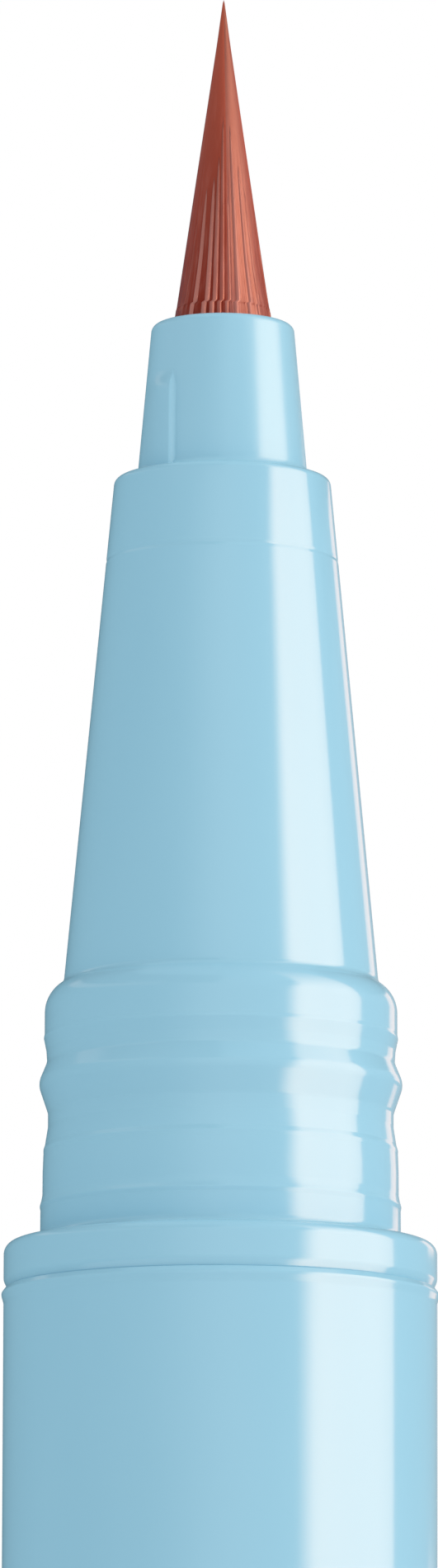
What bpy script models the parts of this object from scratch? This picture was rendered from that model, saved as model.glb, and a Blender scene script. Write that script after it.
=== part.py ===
"""A brush-tip liquid eyeliner pen, standing on its tail, with its cap off and standing beside it.

Metres, +Z up. The origin is the centre of the flat tail face, and the pen's axis is +Z.
The cap stands on its closed end at +X, with its mouth up.
"""

import math

import bmesh
import bpy
from mathutils import Matrix, Vector

MM = 0.001

# Clearances
fit_gap = 0.2 * MM  # between pieces that are pressed or glued together
seam_gap = 0.1 * MM  # between the flange and the barrel's mouth
seal_gap = 0.1 * MM  # around the seal ring
slide_gap = 0.25 * MM  # around pieces that slide
rest_gap = 0.1 * MM  # under loose pieces and at the spring's ends
weld_distance = 0.001 * MM

# Barrel
barrel_radius = 5.25 * MM
barrel_wall = 0.9 * MM
barrel_length = 90.9 * MM
tail_round = 0.5 * MM
mouth_lip = 0.05 * MM
mouth_lip_height = 0.35 * MM
mouth_round = 0.1 * MM
barrel_bore = barrel_radius - barrel_wall

# End plugs, one in the barrel's tail and one in the cap's closed end
plug_head_height = 0.9 * MM
plug_head_step = 0.25 * MM
plug_floor = 1.3 * MM
plug_length = 5.5 * MM
plug_wall = 0.8 * MM
plug_round = 0.12 * MM

# Flange, and the spigot that enters the barrel
flange_height = 1.02 * MM
flange_round = 0.3 * MM
flange_foot_round = 0.12 * MM
spigot_length = 4.8 * MM
spigot_wall = 1.05 * MM
spigot_round = 0.15 * MM
seal_groove_depth = 0.5 * MM
seal_groove_share = 0.5
flange_foot = barrel_length + seam_gap
cap_seat = flange_foot + flange_height
spigot_radius = barrel_bore - fit_gap
spigot_bore = spigot_radius - spigot_wall
spigot_foot = flange_foot - spigot_length

# Snap collar, from the cap's seat up to the cone's foot
cap_wall = 0.65 * MM
snap_play = 0.175 * MM
collar_height = 6.35 * MM
collar_relief = 0.225 * MM  # depth of the valley under the bead
collar_round = 0.8 * MM
relief_round = 0.5 * MM
cone_step = 0.455 * MM  # from the collar's land in to the cone's foot
cap_bore = barrel_radius - cap_wall
bead_radius = cap_bore - snap_play
# Each corner of the collar: its share of the collar's height, and of the relief in from the bead
collar_shares = (
    (0.709, 0.844),
    (0.609, 0.0),
    (0.500, 1.0),
    (0.425, 1.0),
    (0.359, 0.600),
    (0.300, 0.467),
    (0.173, 0.458),
    (0.131, 0.244),
)
land_foot_share = 0.7685
land_relief_share = 0.62
foot_relief_share = 0.244

# Brush
brush_length = 8.22 * MM
brush_radius = 1.2 * MM
brush_recess = 0.3 * MM
brush_gap = 0.1 * MM
brush_root_seat = 1.0 * MM  # from the holder's foot up to the root's foot
strand_count = 360
strand_radius = 0.042 * MM
strand_tip_radius = 0.012 * MM
strand_sink = 0.15 * MM
strand_sides = 3
strand_end_share = 0.7
strand_stagger_share = 0.15
strand_pull_share = 0.97
golden_share = (math.sqrt(5) - 1) / 2

# Nozzle and cone
cone_height = 12.49 * MM
nozzle_height = 3.85 * MM
nozzle_rim = 0.426 * MM
nozzle_taper = 0.32 * MM
nozzle_round = 0.3 * MM
nozzle_foot_round = 0.15 * MM
nozzle_bore_depth = 0.86 * MM
shoulder_width = 0.555 * MM
shoulder_round = 0.18 * MM
shell_wall = 0.8 * MM
land_radius = bead_radius - collar_relief * land_relief_share
cone_foot_radius = land_radius - cone_step
cone_foot = cap_seat + collar_height
shoulder = cone_foot + cone_height
nozzle_top = shoulder + nozzle_height
brush_tip = nozzle_top + brush_length
brush_root_top = nozzle_top - brush_recess
brush_root_radius = brush_radius * (brush_length + brush_recess) / brush_length
nozzle_bore = brush_root_radius + brush_gap
nozzle_top_radius = nozzle_bore + nozzle_rim
nozzle_foot_radius = nozzle_top_radius + nozzle_taper
cone_top_radius = nozzle_foot_radius + shoulder_width
cavity_top = shoulder - nozzle_bore_depth

# Feed: wick, collector, brush holder and seal ring
wick_radius = 0.8 * MM
wick_dip = 2.0 * MM
wick_gap = 0.1 * MM
collector_wall = 0.7 * MM
collector_flange = 2.0 * MM
neck_gap = 0.3 * MM
fin_count = 9
fin_headroom = 1.07 * MM
fin_share = 0.45
fin_slot = 0.6 * MM
fin_root = 0.2 * MM
holder_height = 3.3 * MM
holder_foot = cavity_top - fit_gap - holder_height
brush_root_foot = holder_foot + brush_root_seat
wick_bore = wick_radius + fit_gap
collector_core = wick_bore + collector_wall
collector_flange_top = spigot_foot - fit_gap
collector_foot = collector_flange_top - collector_flange
fins_top = cone_foot - collar_round - fin_headroom
fin_zone = fins_top - collector_flange_top
collector_top = holder_foot - neck_gap
wick_foot = collector_foot - wick_dip
wick_top = brush_root_foot - wick_gap
seal_groove_floor = spigot_radius - seal_groove_depth
seal_cord_radius = (barrel_bore - seal_groove_floor) / 2 - seal_gap
seal_ring_radius = seal_groove_floor + seal_gap + seal_cord_radius
seal_groove_height = 2 * (seal_cord_radius + seal_gap)
seal_height = spigot_foot + spigot_length * seal_groove_share

# Mixing ball, loose in the tank
ball_radius = 1.75 * MM
ball_rest = plug_floor + rest_gap + ball_radius
ball_travel = wick_foot - rest_gap - ball_radius - ball_rest

# Cap, with a sprung inner cap that seals on the shoulder round the nozzle
cap_stand_gap = 0.8 * MM
cap_mouth_round = 0.2 * MM
cap_neck_height = 1.2 * MM
snap_ridge = 0.2 * MM
snap_ridge_height = 0.7 * MM
liner_wall = 0.7 * MM
liner_floor = 0.9 * MM
liner_flange = 0.9 * MM
liner_round = 0.12 * MM
liner_press = 1.0 * MM  # how far the shoulder pushes the inner cap back when the cap is on
tip_room = 0.6 * MM
spring_length = 12.2 * MM
spring_wire_radius = 0.22 * MM
spring_turns = 7
spring_points_per_turn = 10
cap_axis = 2 * barrel_radius + cap_stand_gap
cap_rear_bore = cap_bore - plug_head_step
liner_bore = nozzle_foot_radius + fit_gap
liner_radius = liner_bore + liner_wall
liner_flange_radius = cap_rear_bore - slide_gap
cap_neck_bore = liner_radius + slide_gap
spring_foot = plug_floor + rest_gap
spring_top = spring_foot + spring_length
spring_radius = (cap_rear_bore - fit_gap - plug_wall) - slide_gap - spring_wire_radius
liner_foot = spring_top + rest_gap
liner_flange_top = liner_foot + liner_flange
cap_neck_foot = liner_flange_top + rest_gap
cap_neck_top = cap_neck_foot + cap_neck_height
liner_mouth = liner_foot + liner_floor + tip_room + brush_length + nozzle_height
cap_length = liner_mouth + cone_height + collar_height - liner_press
snap_share = (collar_shares[2][0] + collar_shares[3][0]) / 2
snap_height = cap_length - collar_height * snap_share

# Facets
body_steps = 40
inner_steps = 24
ball_rings = 10
cord_sides = 8
arc_turn = math.radians(31)
side_share = 0.45
sharp_angle = math.radians(40)

# Colours, as red, green, blue, roughness and metallic
colours = {
    "blue_plastic": (0.30, 0.57, 0.70, 0.28, 0.0),
    "natural_plastic": (0.80, 0.81, 0.79, 0.40, 0.0),
    "brush_fibre": (0.42, 0.12, 0.075, 0.55, 0.0),
    "wick_fibre": (0.30, 0.10, 0.07, 0.90, 0.0),
    "rubber": (0.06, 0.06, 0.065, 0.60, 0.0),
    "steel": (0.62, 0.62, 0.63, 0.22, 1.0),
}


def clear_scene():
    for thing in list(bpy.data.objects):
        bpy.data.objects.remove(thing, do_unlink=True)


def new_collection(name):
    collection = bpy.data.collections.new(name)
    bpy.context.scene.collection.children.link(collection)
    return collection


def new_material(name, colour):
    red, green, blue, roughness, metallic = colours[colour]
    material = bpy.data.materials.new(name)
    material.use_nodes = True
    shader = material.node_tree.nodes["Principled BSDF"]
    shader.inputs["Base Color"].default_value = (red, green, blue, 1)
    shader.inputs["Roughness"].default_value = roughness
    shader.inputs["Metallic"].default_value = metallic
    return material


def arc_points(centre, radius, start, end):
    """Points along an arc, no more than arc_turn apart."""
    count = max(1, math.ceil(abs(end - start) / arc_turn))
    angles = [start + (end - start) * index / count for index in range(count + 1)]
    return [centre + radius * Vector((math.cos(angle), math.sin(angle))) for angle in angles]


def rounded_corner(before, corner, after, rounding):
    """The arc that rounds a corner, limited by the shorter of its two sides."""
    back = before - corner
    ahead = after - corner
    half_angle = back.angle(ahead) / 2
    reach = min(rounding / math.tan(half_angle), side_share * min(back.length, ahead.length))
    radius = reach * math.tan(half_angle)
    inward = (back.normalized() + ahead.normalized()).normalized()
    centre = corner + inward * radius / math.sin(half_angle)
    first = corner + back.normalized() * reach - centre
    last = corner + ahead.normalized() * reach - centre
    start = math.atan2(first.y, first.x)
    turn = math.atan2(first.cross(last), first.dot(last))
    return arc_points(centre, radius, start, start + turn)


def rounded_outline(corners, closed):
    """An outline's points, from its corners as (radius, height) or (radius, height, rounding)."""
    count = len(corners)
    points = []
    for index, corner in enumerate(corners):
        place = Vector(corner[:2])
        inner = closed or 0 < index < count - 1
        if len(corner) == 3 and inner:
            before = Vector(corners[index - 1][:2])
            after = Vector(corners[(index + 1) % count][:2])
            points += rounded_corner(before, place, after, corner[2])
        else:
            points.append(place)
    return points


def real_mesh(piece):
    """The piece with its modifiers applied, shaded smooth between its sharp edges."""
    evaluated = piece.evaluated_get(bpy.context.evaluated_depsgraph_get())
    mesh = bpy.data.meshes.new_from_object(evaluated)
    mesh.name = piece.name
    piece.modifiers.clear()
    piece.data = mesh
    mesh.shade_smooth()
    mesh.set_sharp_from_angle(angle=sharp_angle)


def add_piece(name, data, collection, colour, parent=None, place=(0, 0, 0)):
    piece = bpy.data.objects.new(name, data)
    collection.objects.link(piece)
    piece.data.materials.append(new_material(name, colour))
    piece.parent = parent
    piece.location = place
    return piece


def turned(name, corners, collection, colour, steps=body_steps, closed=True, parent=None, place=(0, 0, 0)):
    """A turned piece. Its outline runs down the outer side, and back up the bore if it is closed."""
    points = rounded_outline(corners, closed)
    edges = [(index, index + 1) for index in range(len(points) - 1)]
    if closed:
        edges.append((len(points) - 1, 0))
    profile = bpy.data.meshes.new(name)
    profile.from_pydata([(point.x, 0, point.y) for point in points], edges, [])
    piece = add_piece(name, profile, collection, colour, parent, place)
    screw = piece.modifiers.new("turn", "SCREW")
    screw.axis = "Z"
    screw.angle = math.tau
    screw.steps = steps
    screw.render_steps = steps
    screw.use_merge_vertices = True
    screw.merge_threshold = weld_distance
    bpy.context.view_layer.update()
    real_mesh(piece)
    return piece


def barrel(pen):
    lip_radius = barrel_radius + mouth_lip
    lip_foot = barrel_length - mouth_lip_height
    counterbore = barrel_bore + plug_head_step
    counterbore_top = plug_head_height + fit_gap
    turned(
        "barrel",
        (
            (barrel_bore, barrel_length),
            (lip_radius, barrel_length, mouth_round),
            (lip_radius, (barrel_length + lip_foot) / 2),
            (barrel_radius, lip_foot),
            (barrel_radius, 0, tail_round),
            (counterbore, 0),
            (counterbore, counterbore_top),
            (barrel_bore, counterbore_top),
        ),
        pen,
        "blue_plastic",
    )


def end_plug(name, bore, collection, colour, parent=None):
    """A cup-shaped plug, whose head sits flush in the counterbore at the foot of a tube."""
    head = bore + plug_head_step - fit_gap
    body = bore - fit_gap
    well = body - plug_wall
    turned(
        name,
        (
            (0, plug_floor),
            (well, plug_floor),
            (well, plug_length),
            (body, plug_length),
            (body, plug_head_height),
            (head, plug_head_height),
            (head, 0, plug_round),
            (0, 0),
        ),
        collection,
        colour,
        steps=inner_steps,
        closed=False,
        parent=parent,
    )


def cone_radius(height):
    """The cone's outer radius at a height."""
    share = (height - cone_foot) / cone_height
    return cone_foot_radius + (cone_top_radius - cone_foot_radius) * share


def collar_corners():
    """The collar's outer side, from the cone's foot down to the cap's seat."""
    step = min(1, cone_step / collar_round)
    top_turn = math.acos(1 - step)
    land_top = cone_foot - collar_round * math.sin(top_turn)
    centre = Vector((land_radius - collar_round, land_top))
    corners = [tuple(point) for point in arc_points(centre, collar_round, top_turn, 0)]
    corners.append((land_radius, cap_seat + collar_height * land_foot_share, relief_round))
    for height_share, relief_share in collar_shares:
        radius = bead_radius - collar_relief * relief_share
        corners.append((radius, cap_seat + collar_height * height_share, relief_round))
    corners.append((bead_radius - collar_relief * foot_relief_share, cap_seat))
    return corners


def front_shell(pen):
    """One moulding: nozzle, cone, snap collar, flange, and the spigot with its seal groove."""
    groove_top = seal_height + seal_groove_height / 2
    groove_foot = seal_height - seal_groove_height / 2
    cavity_foot_radius = min(cone_foot_radius - shell_wall, spigot_bore)
    turned(
        "front_shell",
        (
            (nozzle_bore, nozzle_top),
            (nozzle_top_radius, nozzle_top, nozzle_round),
            (nozzle_foot_radius, shoulder, nozzle_foot_round),
            (cone_top_radius, shoulder, shoulder_round),
            *collar_corners(),
            (barrel_radius, cap_seat, flange_round),
            (barrel_radius, flange_foot, flange_foot_round),
            (spigot_radius, flange_foot),
            (spigot_radius, groove_top),
            (seal_groove_floor, groove_top),
            (seal_groove_floor, groove_foot),
            (spigot_radius, groove_foot),
            (spigot_radius, spigot_foot, spigot_round),
            (spigot_bore, spigot_foot),
            (spigot_bore, cone_foot - collar_round),
            (cavity_foot_radius, cone_foot),
            (cone_radius(cavity_top) - shell_wall, cavity_top),
            (nozzle_bore, cavity_top),
        ),
        pen,
        "blue_plastic",
    )


def seal_ring(pen):
    bpy.ops.mesh.primitive_torus_add(
        major_radius=seal_ring_radius,
        minor_radius=seal_cord_radius,
        major_segments=body_steps,
        minor_segments=cord_sides,
        location=(0, 0, seal_height),
    )
    ring = bpy.context.object
    ring.name = "seal_ring"
    ring.data.name = "seal_ring"
    for collection in list(ring.users_collection):
        collection.objects.unlink(ring)
    pen.objects.link(ring)
    ring.data.materials.append(new_material("seal_ring", "rubber"))
    ring.data.shade_smooth()


def collector_outline():
    """The collector's outer side: its neck, its fins, and the flange that closes the tank."""
    fin_radius = spigot_bore - fit_gap
    pitch = fin_zone / fin_count
    corners = [(wick_bore, collector_top), (collector_core, collector_top)]
    for index in range(fin_count):
        top = fins_top - pitch * index
        foot = top - pitch * fin_share
        corners += [
            (collector_core, top),
            (fin_radius, top),
            (fin_radius, foot),
            (collector_core, foot),
        ]
    corners += [
        (collector_core, collector_flange_top),
        (barrel_bore - fit_gap, collector_flange_top),
        (barrel_bore - fit_gap, collector_foot),
        (wick_bore, collector_foot),
    ]
    return corners


def collector(pen, cutters):
    """The finned feed that holds back ink as the tank warms, with an air slot down its fins."""
    piece = turned("collector", collector_outline(), pen, "natural_plastic", steps=inner_steps)
    slot_foot = collector_flange_top + fin_zone / fin_count * (1 - fin_share) / 2
    slot_top = fins_top + fin_slot
    bpy.ops.mesh.primitive_cube_add(size=1)
    slot = bpy.context.object
    slot.name = "air_slot"
    slot.scale = (spigot_bore, fin_slot, slot_top - slot_foot)
    slot.location = (collector_core + fin_root + spigot_bore / 2, 0, (slot_top + slot_foot) / 2)
    for collection in list(slot.users_collection):
        collection.objects.unlink(slot)
    cutters.objects.link(slot)
    slot.hide_render = True
    slot.display_type = "WIRE"
    cut = piece.modifiers.new("air_slot", "BOOLEAN")
    cut.object = slot
    cut.operation = "DIFFERENCE"
    cut.solver = "EXACT"
    bpy.context.view_layer.update()
    real_mesh(piece)


def wick(pen):
    turned(
        "wick",
        ((0, wick_top), (wick_radius, wick_top), (wick_radius, wick_foot), (0, wick_foot)),
        pen,
        "wick_fibre",
        steps=inner_steps,
        closed=False,
    )


def brush_holder(pen):
    """The ring in the cone's cavity that centres the brush's bound root over the wick."""
    holder_top = cavity_top - fit_gap
    holder_bore = brush_root_radius + fit_gap
    turned(
        "brush_holder",
        (
            (holder_bore, holder_top),
            (cone_radius(holder_top) - shell_wall - fit_gap, holder_top),
            (cone_radius(holder_foot) - shell_wall - fit_gap, holder_foot),
            (holder_bore, holder_foot),
        ),
        pen,
        "natural_plastic",
        steps=inner_steps,
    )


def strand_mesh():
    """All the strands, straight and tapered. They lean together and end at staggered heights."""
    height = brush_tip - brush_root_top
    mesh = bmesh.new()
    for index in range(strand_count):
        angle = math.tau * golden_share * index
        foot_share = math.sqrt((index + golden_share) / strand_count)
        foot_radius = (brush_root_radius - strand_radius) * foot_share
        stagger = strand_stagger_share * ((index * golden_share) % 1 - golden_share)
        end_share = strand_end_share * (1 + stagger) * math.sqrt(index / strand_count)
        tip_radius = brush_root_radius * end_share * strand_pull_share
        around = Vector((math.cos(angle), math.sin(angle), 0))
        foot = around * foot_radius + Vector((0, 0, brush_root_top))
        tip = around * tip_radius + Vector((0, 0, brush_root_top + height * (1 - end_share)))
        along = (tip - foot).normalized()
        start = foot - along * strand_sink
        aim = along.to_track_quat("Z", "X").to_matrix().to_4x4()
        bmesh.ops.create_cone(
            mesh,
            cap_ends=True,
            segments=strand_sides,
            radius1=strand_radius,
            radius2=strand_tip_radius,
            depth=(tip - start).length,
            matrix=Matrix.Translation((start + tip) / 2) @ aim,
        )
    data = bpy.data.meshes.new("strands")
    mesh.to_mesh(data)
    mesh.free()
    return data


def brush(pen, cutters):
    """Fibres fused to their bound root, which reaches down through the nozzle to the wick."""
    root = turned(
        "brush",
        (
            (0, brush_root_top),
            (brush_root_radius, brush_root_top),
            (brush_root_radius, brush_root_foot),
            (0, brush_root_foot),
        ),
        pen,
        "brush_fibre",
        steps=inner_steps,
        closed=False,
    )
    strands = bpy.data.objects.new("strands", strand_mesh())
    cutters.objects.link(strands)
    strands.hide_render = True
    strands.display_type = "WIRE"
    join = root.modifiers.new("strands", "BOOLEAN")
    join.object = strands
    join.operation = "UNION"
    join.solver = "EXACT"
    bpy.context.view_layer.update()
    real_mesh(root)


def mixing_ball(pen):
    data = bpy.data.meshes.new("mixing_ball")
    mesh = bmesh.new()
    bmesh.ops.create_uvsphere(mesh, u_segments=2 * ball_rings, v_segments=ball_rings, radius=ball_radius)
    mesh.to_mesh(data)
    mesh.free()
    data.shade_smooth()
    add_piece("mixing_ball", data, pen, "steel", place=(0, 0, ball_rest))


def cap_shell(pen, cap):
    """The outer cap: a tube with a snap ridge by its mouth and a neck that keeps the inner cap in."""
    counterbore_top = plug_head_height + fit_gap
    turned(
        "cap_shell",
        (
            (cap_bore, cap_length),
            (barrel_radius, cap_length, cap_mouth_round),
            (barrel_radius, 0, tail_round),
            (cap_bore, 0),
            (cap_bore, counterbore_top),
            (cap_rear_bore, counterbore_top),
            (cap_rear_bore, cap_neck_foot),
            (cap_neck_bore, cap_neck_foot),
            (cap_neck_bore, cap_neck_top),
            (cap_bore, cap_neck_top),
            (cap_bore, snap_height - snap_ridge_height),
            (cap_bore - snap_ridge, snap_height, relief_round),
            (cap_bore, snap_height + snap_ridge_height),
        ),
        pen,
        "blue_plastic",
        parent=cap,
    )


def inner_cap(pen, cap):
    """The sprung cup whose rim seals on the shoulder round the nozzle."""
    turned(
        "inner_cap",
        (
            (0, liner_floor),
            (liner_bore, liner_floor),
            (liner_bore, liner_mouth - liner_foot, liner_round),
            (liner_radius, liner_mouth - liner_foot, liner_round),
            (liner_radius, liner_flange),
            (liner_flange_radius, liner_flange),
            (liner_flange_radius, 0),
            (0, 0),
        ),
        pen,
        "natural_plastic",
        steps=inner_steps,
        closed=False,
        parent=cap,
        place=(0, 0, liner_foot),
    )


def spring_points():
    """Points along the helix, from the plug's floor up to the inner cap."""
    rise = spring_length - 2 * spring_wire_radius
    count = spring_turns * spring_points_per_turn
    points = []
    for index in range(count + 1):
        angle = math.tau * index / spring_points_per_turn
        height = spring_wire_radius + rise * index / count
        points.append(Vector((spring_radius * math.cos(angle), spring_radius * math.sin(angle), height)))
    return points


def least_gap(points):
    """The least gap between the wire and itself, half a turn or more along."""
    apart = spring_points_per_turn // 2
    between = [
        (points[first] - points[second]).length
        for first in range(len(points))
        for second in range(first + apart, len(points))
    ]
    return min(between) - 2 * spring_wire_radius


def cap_spring(pen, cap):
    points = spring_points()
    print(f"cap_spring: least gap between turns {least_gap(points) / MM:.2f} mm")
    data = bpy.data.curves.new("cap_spring", "CURVE")
    data.dimensions = "3D"
    data.bevel_depth = spring_wire_radius
    data.bevel_resolution = 1
    data.use_fill_caps = True
    spline = data.splines.new("POLY")
    spline.points.add(len(points) - 1)
    for target, point in zip(spline.points, points):
        target.co = (*point, 1)
    add_piece("cap_spring", data, pen, "steel", cap, (0, 0, spring_foot))


def build():
    clear_scene()
    pen = new_collection("eyeliner")
    cutters = new_collection("eyeliner_cutters")
    cap = bpy.data.objects.new("cap_axis", None)
    cap.location = (cap_axis, 0, 0)
    pen.objects.link(cap)
    barrel(pen)
    end_plug("tail_plug", barrel_bore, pen, "blue_plastic")
    mixing_ball(pen)
    front_shell(pen)
    seal_ring(pen)
    collector(pen, cutters)
    wick(pen)
    brush_holder(pen)
    brush(pen, cutters)
    cap_shell(pen, cap)
    end_plug("cap_end_plug", cap_rear_bore, pen, "blue_plastic", parent=cap)
    inner_cap(pen, cap)
    cap_spring(pen, cap)
    print(f"mixing_ball: travel {ball_travel / MM:.2f} mm")
    print(f"cap_shell: axis {cap_axis / MM:.3f} mm, length {cap_length / MM:.3f} mm")


build()
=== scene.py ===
"""The looks of a brush-tip liquid eyeliner pen and its cap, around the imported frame.

Metres, +Z up. The pen stands on its tail at the origin, and the cap stands mouth up beside it.
"""

import math

import bpy
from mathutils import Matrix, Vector

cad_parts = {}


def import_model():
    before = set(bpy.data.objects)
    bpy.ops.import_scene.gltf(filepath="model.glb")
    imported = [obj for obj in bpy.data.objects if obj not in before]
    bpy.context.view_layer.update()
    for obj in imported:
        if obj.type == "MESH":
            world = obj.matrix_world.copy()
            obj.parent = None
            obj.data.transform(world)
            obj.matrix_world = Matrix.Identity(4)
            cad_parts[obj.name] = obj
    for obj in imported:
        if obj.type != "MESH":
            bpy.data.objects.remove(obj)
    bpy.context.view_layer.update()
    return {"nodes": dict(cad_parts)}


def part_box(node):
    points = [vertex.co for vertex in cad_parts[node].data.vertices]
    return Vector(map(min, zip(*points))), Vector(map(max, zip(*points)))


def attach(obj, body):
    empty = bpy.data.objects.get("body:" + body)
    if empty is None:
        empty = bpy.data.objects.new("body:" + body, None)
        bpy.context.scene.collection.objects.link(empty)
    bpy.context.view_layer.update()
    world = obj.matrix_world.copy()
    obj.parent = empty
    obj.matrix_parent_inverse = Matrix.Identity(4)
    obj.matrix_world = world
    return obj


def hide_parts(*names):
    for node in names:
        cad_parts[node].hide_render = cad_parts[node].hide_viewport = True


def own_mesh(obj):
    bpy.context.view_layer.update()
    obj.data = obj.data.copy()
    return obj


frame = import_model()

MM = 0.001

# Places read from the frame
shell_low, shell_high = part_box("front_shell")
brush_low, brush_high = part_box("brush")
cap_low, cap_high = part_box("cap_shell")
liner_low, liner_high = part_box("inner_cap")
wick_low, wick_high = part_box("wick")
holder_low, holder_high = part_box("brush_holder")
ball_low, ball_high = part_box("mixing_ball")
spring_low, spring_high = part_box("cap_spring")
barrel_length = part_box("barrel")[1].z
barrel_radius = shell_high.x
spigot_foot = shell_low.z
nozzle_top = shell_high.z
brush_root_foot = brush_low.z
brush_tip = brush_high.z
cap_axis = (cap_low.x + cap_high.x) / 2
cap_length = cap_high.z
plug_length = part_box("tail_plug")[1].z
liner_foot = liner_low.z
liner_mouth = liner_high.z

# Clearances
fit_gap = 0.2 * MM
seam_gap = 0.1 * MM
seam_crease = 0.004 * MM  # what is left of the seam at the foot of its groove
seam_depth = 0.09 * MM
seal_gap = 0.1 * MM
slide_gap = 0.25 * MM
rest_gap = 0.1 * MM

# Barrel and its plug
barrel_wall = 0.9 * MM
tail_round = 0.5 * MM
mouth_lip = 0.05 * MM
mouth_lip_height = 0.35 * MM
mouth_slope = 0.12 * MM
mouth_round = 0.12 * MM
barrel_bore = barrel_radius - barrel_wall
plug_head_height = 0.9 * MM
plug_head_step = 0.25 * MM
plug_floor = 1.3 * MM
plug_wall = 0.8 * MM
plug_round = 0.12 * MM

# Front shell
flange_height = 1.02 * MM
flange_round = 0.3 * MM
flange_foot_slope = 0.2 * MM
flange_foot_round = 0.25 * MM
spigot_wall = 1.05 * MM
spigot_round = 0.15 * MM
seal_groove_depth = 0.5 * MM
seal_groove_share = 0.5
cap_wall = 0.65 * MM
snap_play = 0.175 * MM
collar_height = 6.35 * MM
collar_relief = 0.225 * MM
collar_round = 0.8 * MM
relief_round = 0.32 * MM
bead_round = 0.45 * MM
collar_foot_fillet = 0.25 * MM
cone_foot_fillet = 0.24 * MM
cone_step = 0.455 * MM
# The collar's relief below its land, as shares of its height and of its depth
collar_shares = (
    (0.738, 0.820),
    (0.693, 0.900),
    (0.611, -0.057),
    (0.499, 1.020),
    (0.444, 1.020),
    (0.336, 0.543),
    (0.270, 0.475),
    (0.181, 0.463),
    (0.147, 0.270),
    (0.100, 0.247),
)
land_foot_share = 0.773
land_relief_share = 0.62
foot_relief_share = 0.244
cone_height = 12.49 * MM
nozzle_height = 3.85 * MM
nozzle_rim = 0.400 * MM
nozzle_taper = 0.346 * MM
nozzle_round = 0.38 * MM
nozzle_foot_round = 0.3 * MM
nozzle_bore_depth = 0.86 * MM
shoulder_width = 0.555 * MM
shoulder_round = 0.18 * MM
# Fine lines: height, or its share of the collar's, then how far proud, and half the width
ring_line = (108.8 * MM, -0.012 * MM, 0.07 * MM)
collar_lines = (
    (0.787, 0.020 * MM, 0.095 * MM),
    (0.356, 0.020 * MM, 0.110 * MM),
    (0.139, 0.020 * MM, 0.100 * MM),
)
shell_wall = 0.8 * MM
flange_foot = barrel_length + seam_gap
seam_top = barrel_length + seam_crease
spigot_length = flange_foot - spigot_foot
spigot_radius = barrel_bore - fit_gap
spigot_bore = spigot_radius - spigot_wall
cap_seat = flange_foot + flange_height
cap_bore = barrel_radius - cap_wall
bead_radius = cap_bore - snap_play
land_radius = bead_radius - collar_relief * land_relief_share
cone_foot = cap_seat + collar_height
cone_foot_radius = land_radius - cone_step
shoulder = cone_foot + cone_height
cavity_top = shoulder - nozzle_bore_depth

# Brush
brush_radius = 1.2 * MM
brush_recess = 0.3 * MM
brush_gap = 0.1 * MM
brush_root_top = nozzle_top - brush_recess
brush_root_radius = brush_radius * (brush_tip - brush_root_top) / (brush_tip - nozzle_top)
nozzle_bore = brush_root_radius + brush_gap
nozzle_top_radius = nozzle_bore + nozzle_rim
nozzle_foot_radius = nozzle_top_radius + nozzle_taper
cone_top_radius = nozzle_foot_radius + shoulder_width
tip_round = 0.012 * MM
tip_start = 0.85
brush_sharp_angle = math.radians(80)

# Fibres on the brush's surface
thick_fibre_radius = 0.07 * MM
thick_fibre_proud = 0.05 * MM
# Azimuth in degrees, where it ends as a share of the brush, how proud, and its shade
thick_fibres = (
    (-56, 0.34, 0.4, 0.3),
    (-37.5, 0.43, 1.0, 1.1),
    (-20, 0.46, 1.2, 1.2),
    (-10, 0.52, 0.9, 0.8),
    (-1, 0.64, 0.6, 0.5),
    (8, 0.40, 0.3, 0.7),
    (20, 0.62, 0.9, 1.1),
    (38, 0.50, 0.8, 1.0),
    (53, 0.42, 0.5, 0.7),
)
thick_fibre_sides = 12
rear_fibre_count = 14
rear_fibre_unevenness = 0.6
rear_fibre_azimuths = (84, 276)
rear_fibre_ends = (0.34, 0.62)
rear_fibre_prouds = (0.4, 1.0)
rear_fibre_shades = (0.4, 1.0)
fine_fibre_count = 100
fine_fibre_sides = 6
fine_fibre_radius = 0.03 * MM
fine_fibre_proud = 0.003 * MM
fine_fibre_unevenness = 0.7
fine_fibre_sizes = (0.7, 1.3)
fine_fibre_ends = (0.2, 0.55)
fine_fibre_shade = 0.25
fibre_sink = 0.2 * MM
fibre_steps = 14
fibre_taper = 2.2
golden_share = (math.sqrt(5) - 1) / 2
other_share = golden_share * 5.7
other_start = 0.31

# Merged bundle under the fibres
core_columns = 480
core_rows = 96
groove_count = 30
groove_depth = 0.008 * MM
groove_sharpness = 1.4
groove_waves = ((0.06, 5, 1), (0.035, 11, 2))  # each with its size, how many there are, and phase
groove_drift = (0.03, 3, 7)  # a wave whose phase grows up the brush
groove_end = 0.62
groove_end_wave = (0.16, 7, 0.5)
pinch_power = 1.6
pinch_angle = math.radians(4)
pinch_start = (0, 0.25)
pinch_end = (0.5, 0.95)
# Painted light on the core: its shade rises to this level on the lit right-front side, between these turns
# in radians from the front
painted_light_level = 0.6
painted_light_rise = (0, 0.1)
painted_light_fall = (0.9, 1.8)

# Band just over the nozzle, where the fibres step in and turn
band_top = nozzle_top + 0.42 * MM
band_foot = band_top - 0.05 * MM
band_step = 0.012 * MM
band_turn = math.radians(3.5)

# Wick and its ring
wick_round = 0.12 * MM
holder_round = 0.1 * MM

# Rib on the nozzle's side, the line that catches the light there
rib_foot_angle = math.radians(-36.6)
rib_top_angle = math.radians(-41)
rib_height = 0.14 * MM
rib_left_width = 1.2 * MM
rib_right_width = 0.125 * MM
rib_sink = 0.04 * MM
rib_side_points = 10
rib_length = 2.5 * MM
rib_run_out = 0.45 * MM
rib_rows = 24
rib_least = 0.02  # the share of its size that it keeps at its end

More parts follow.
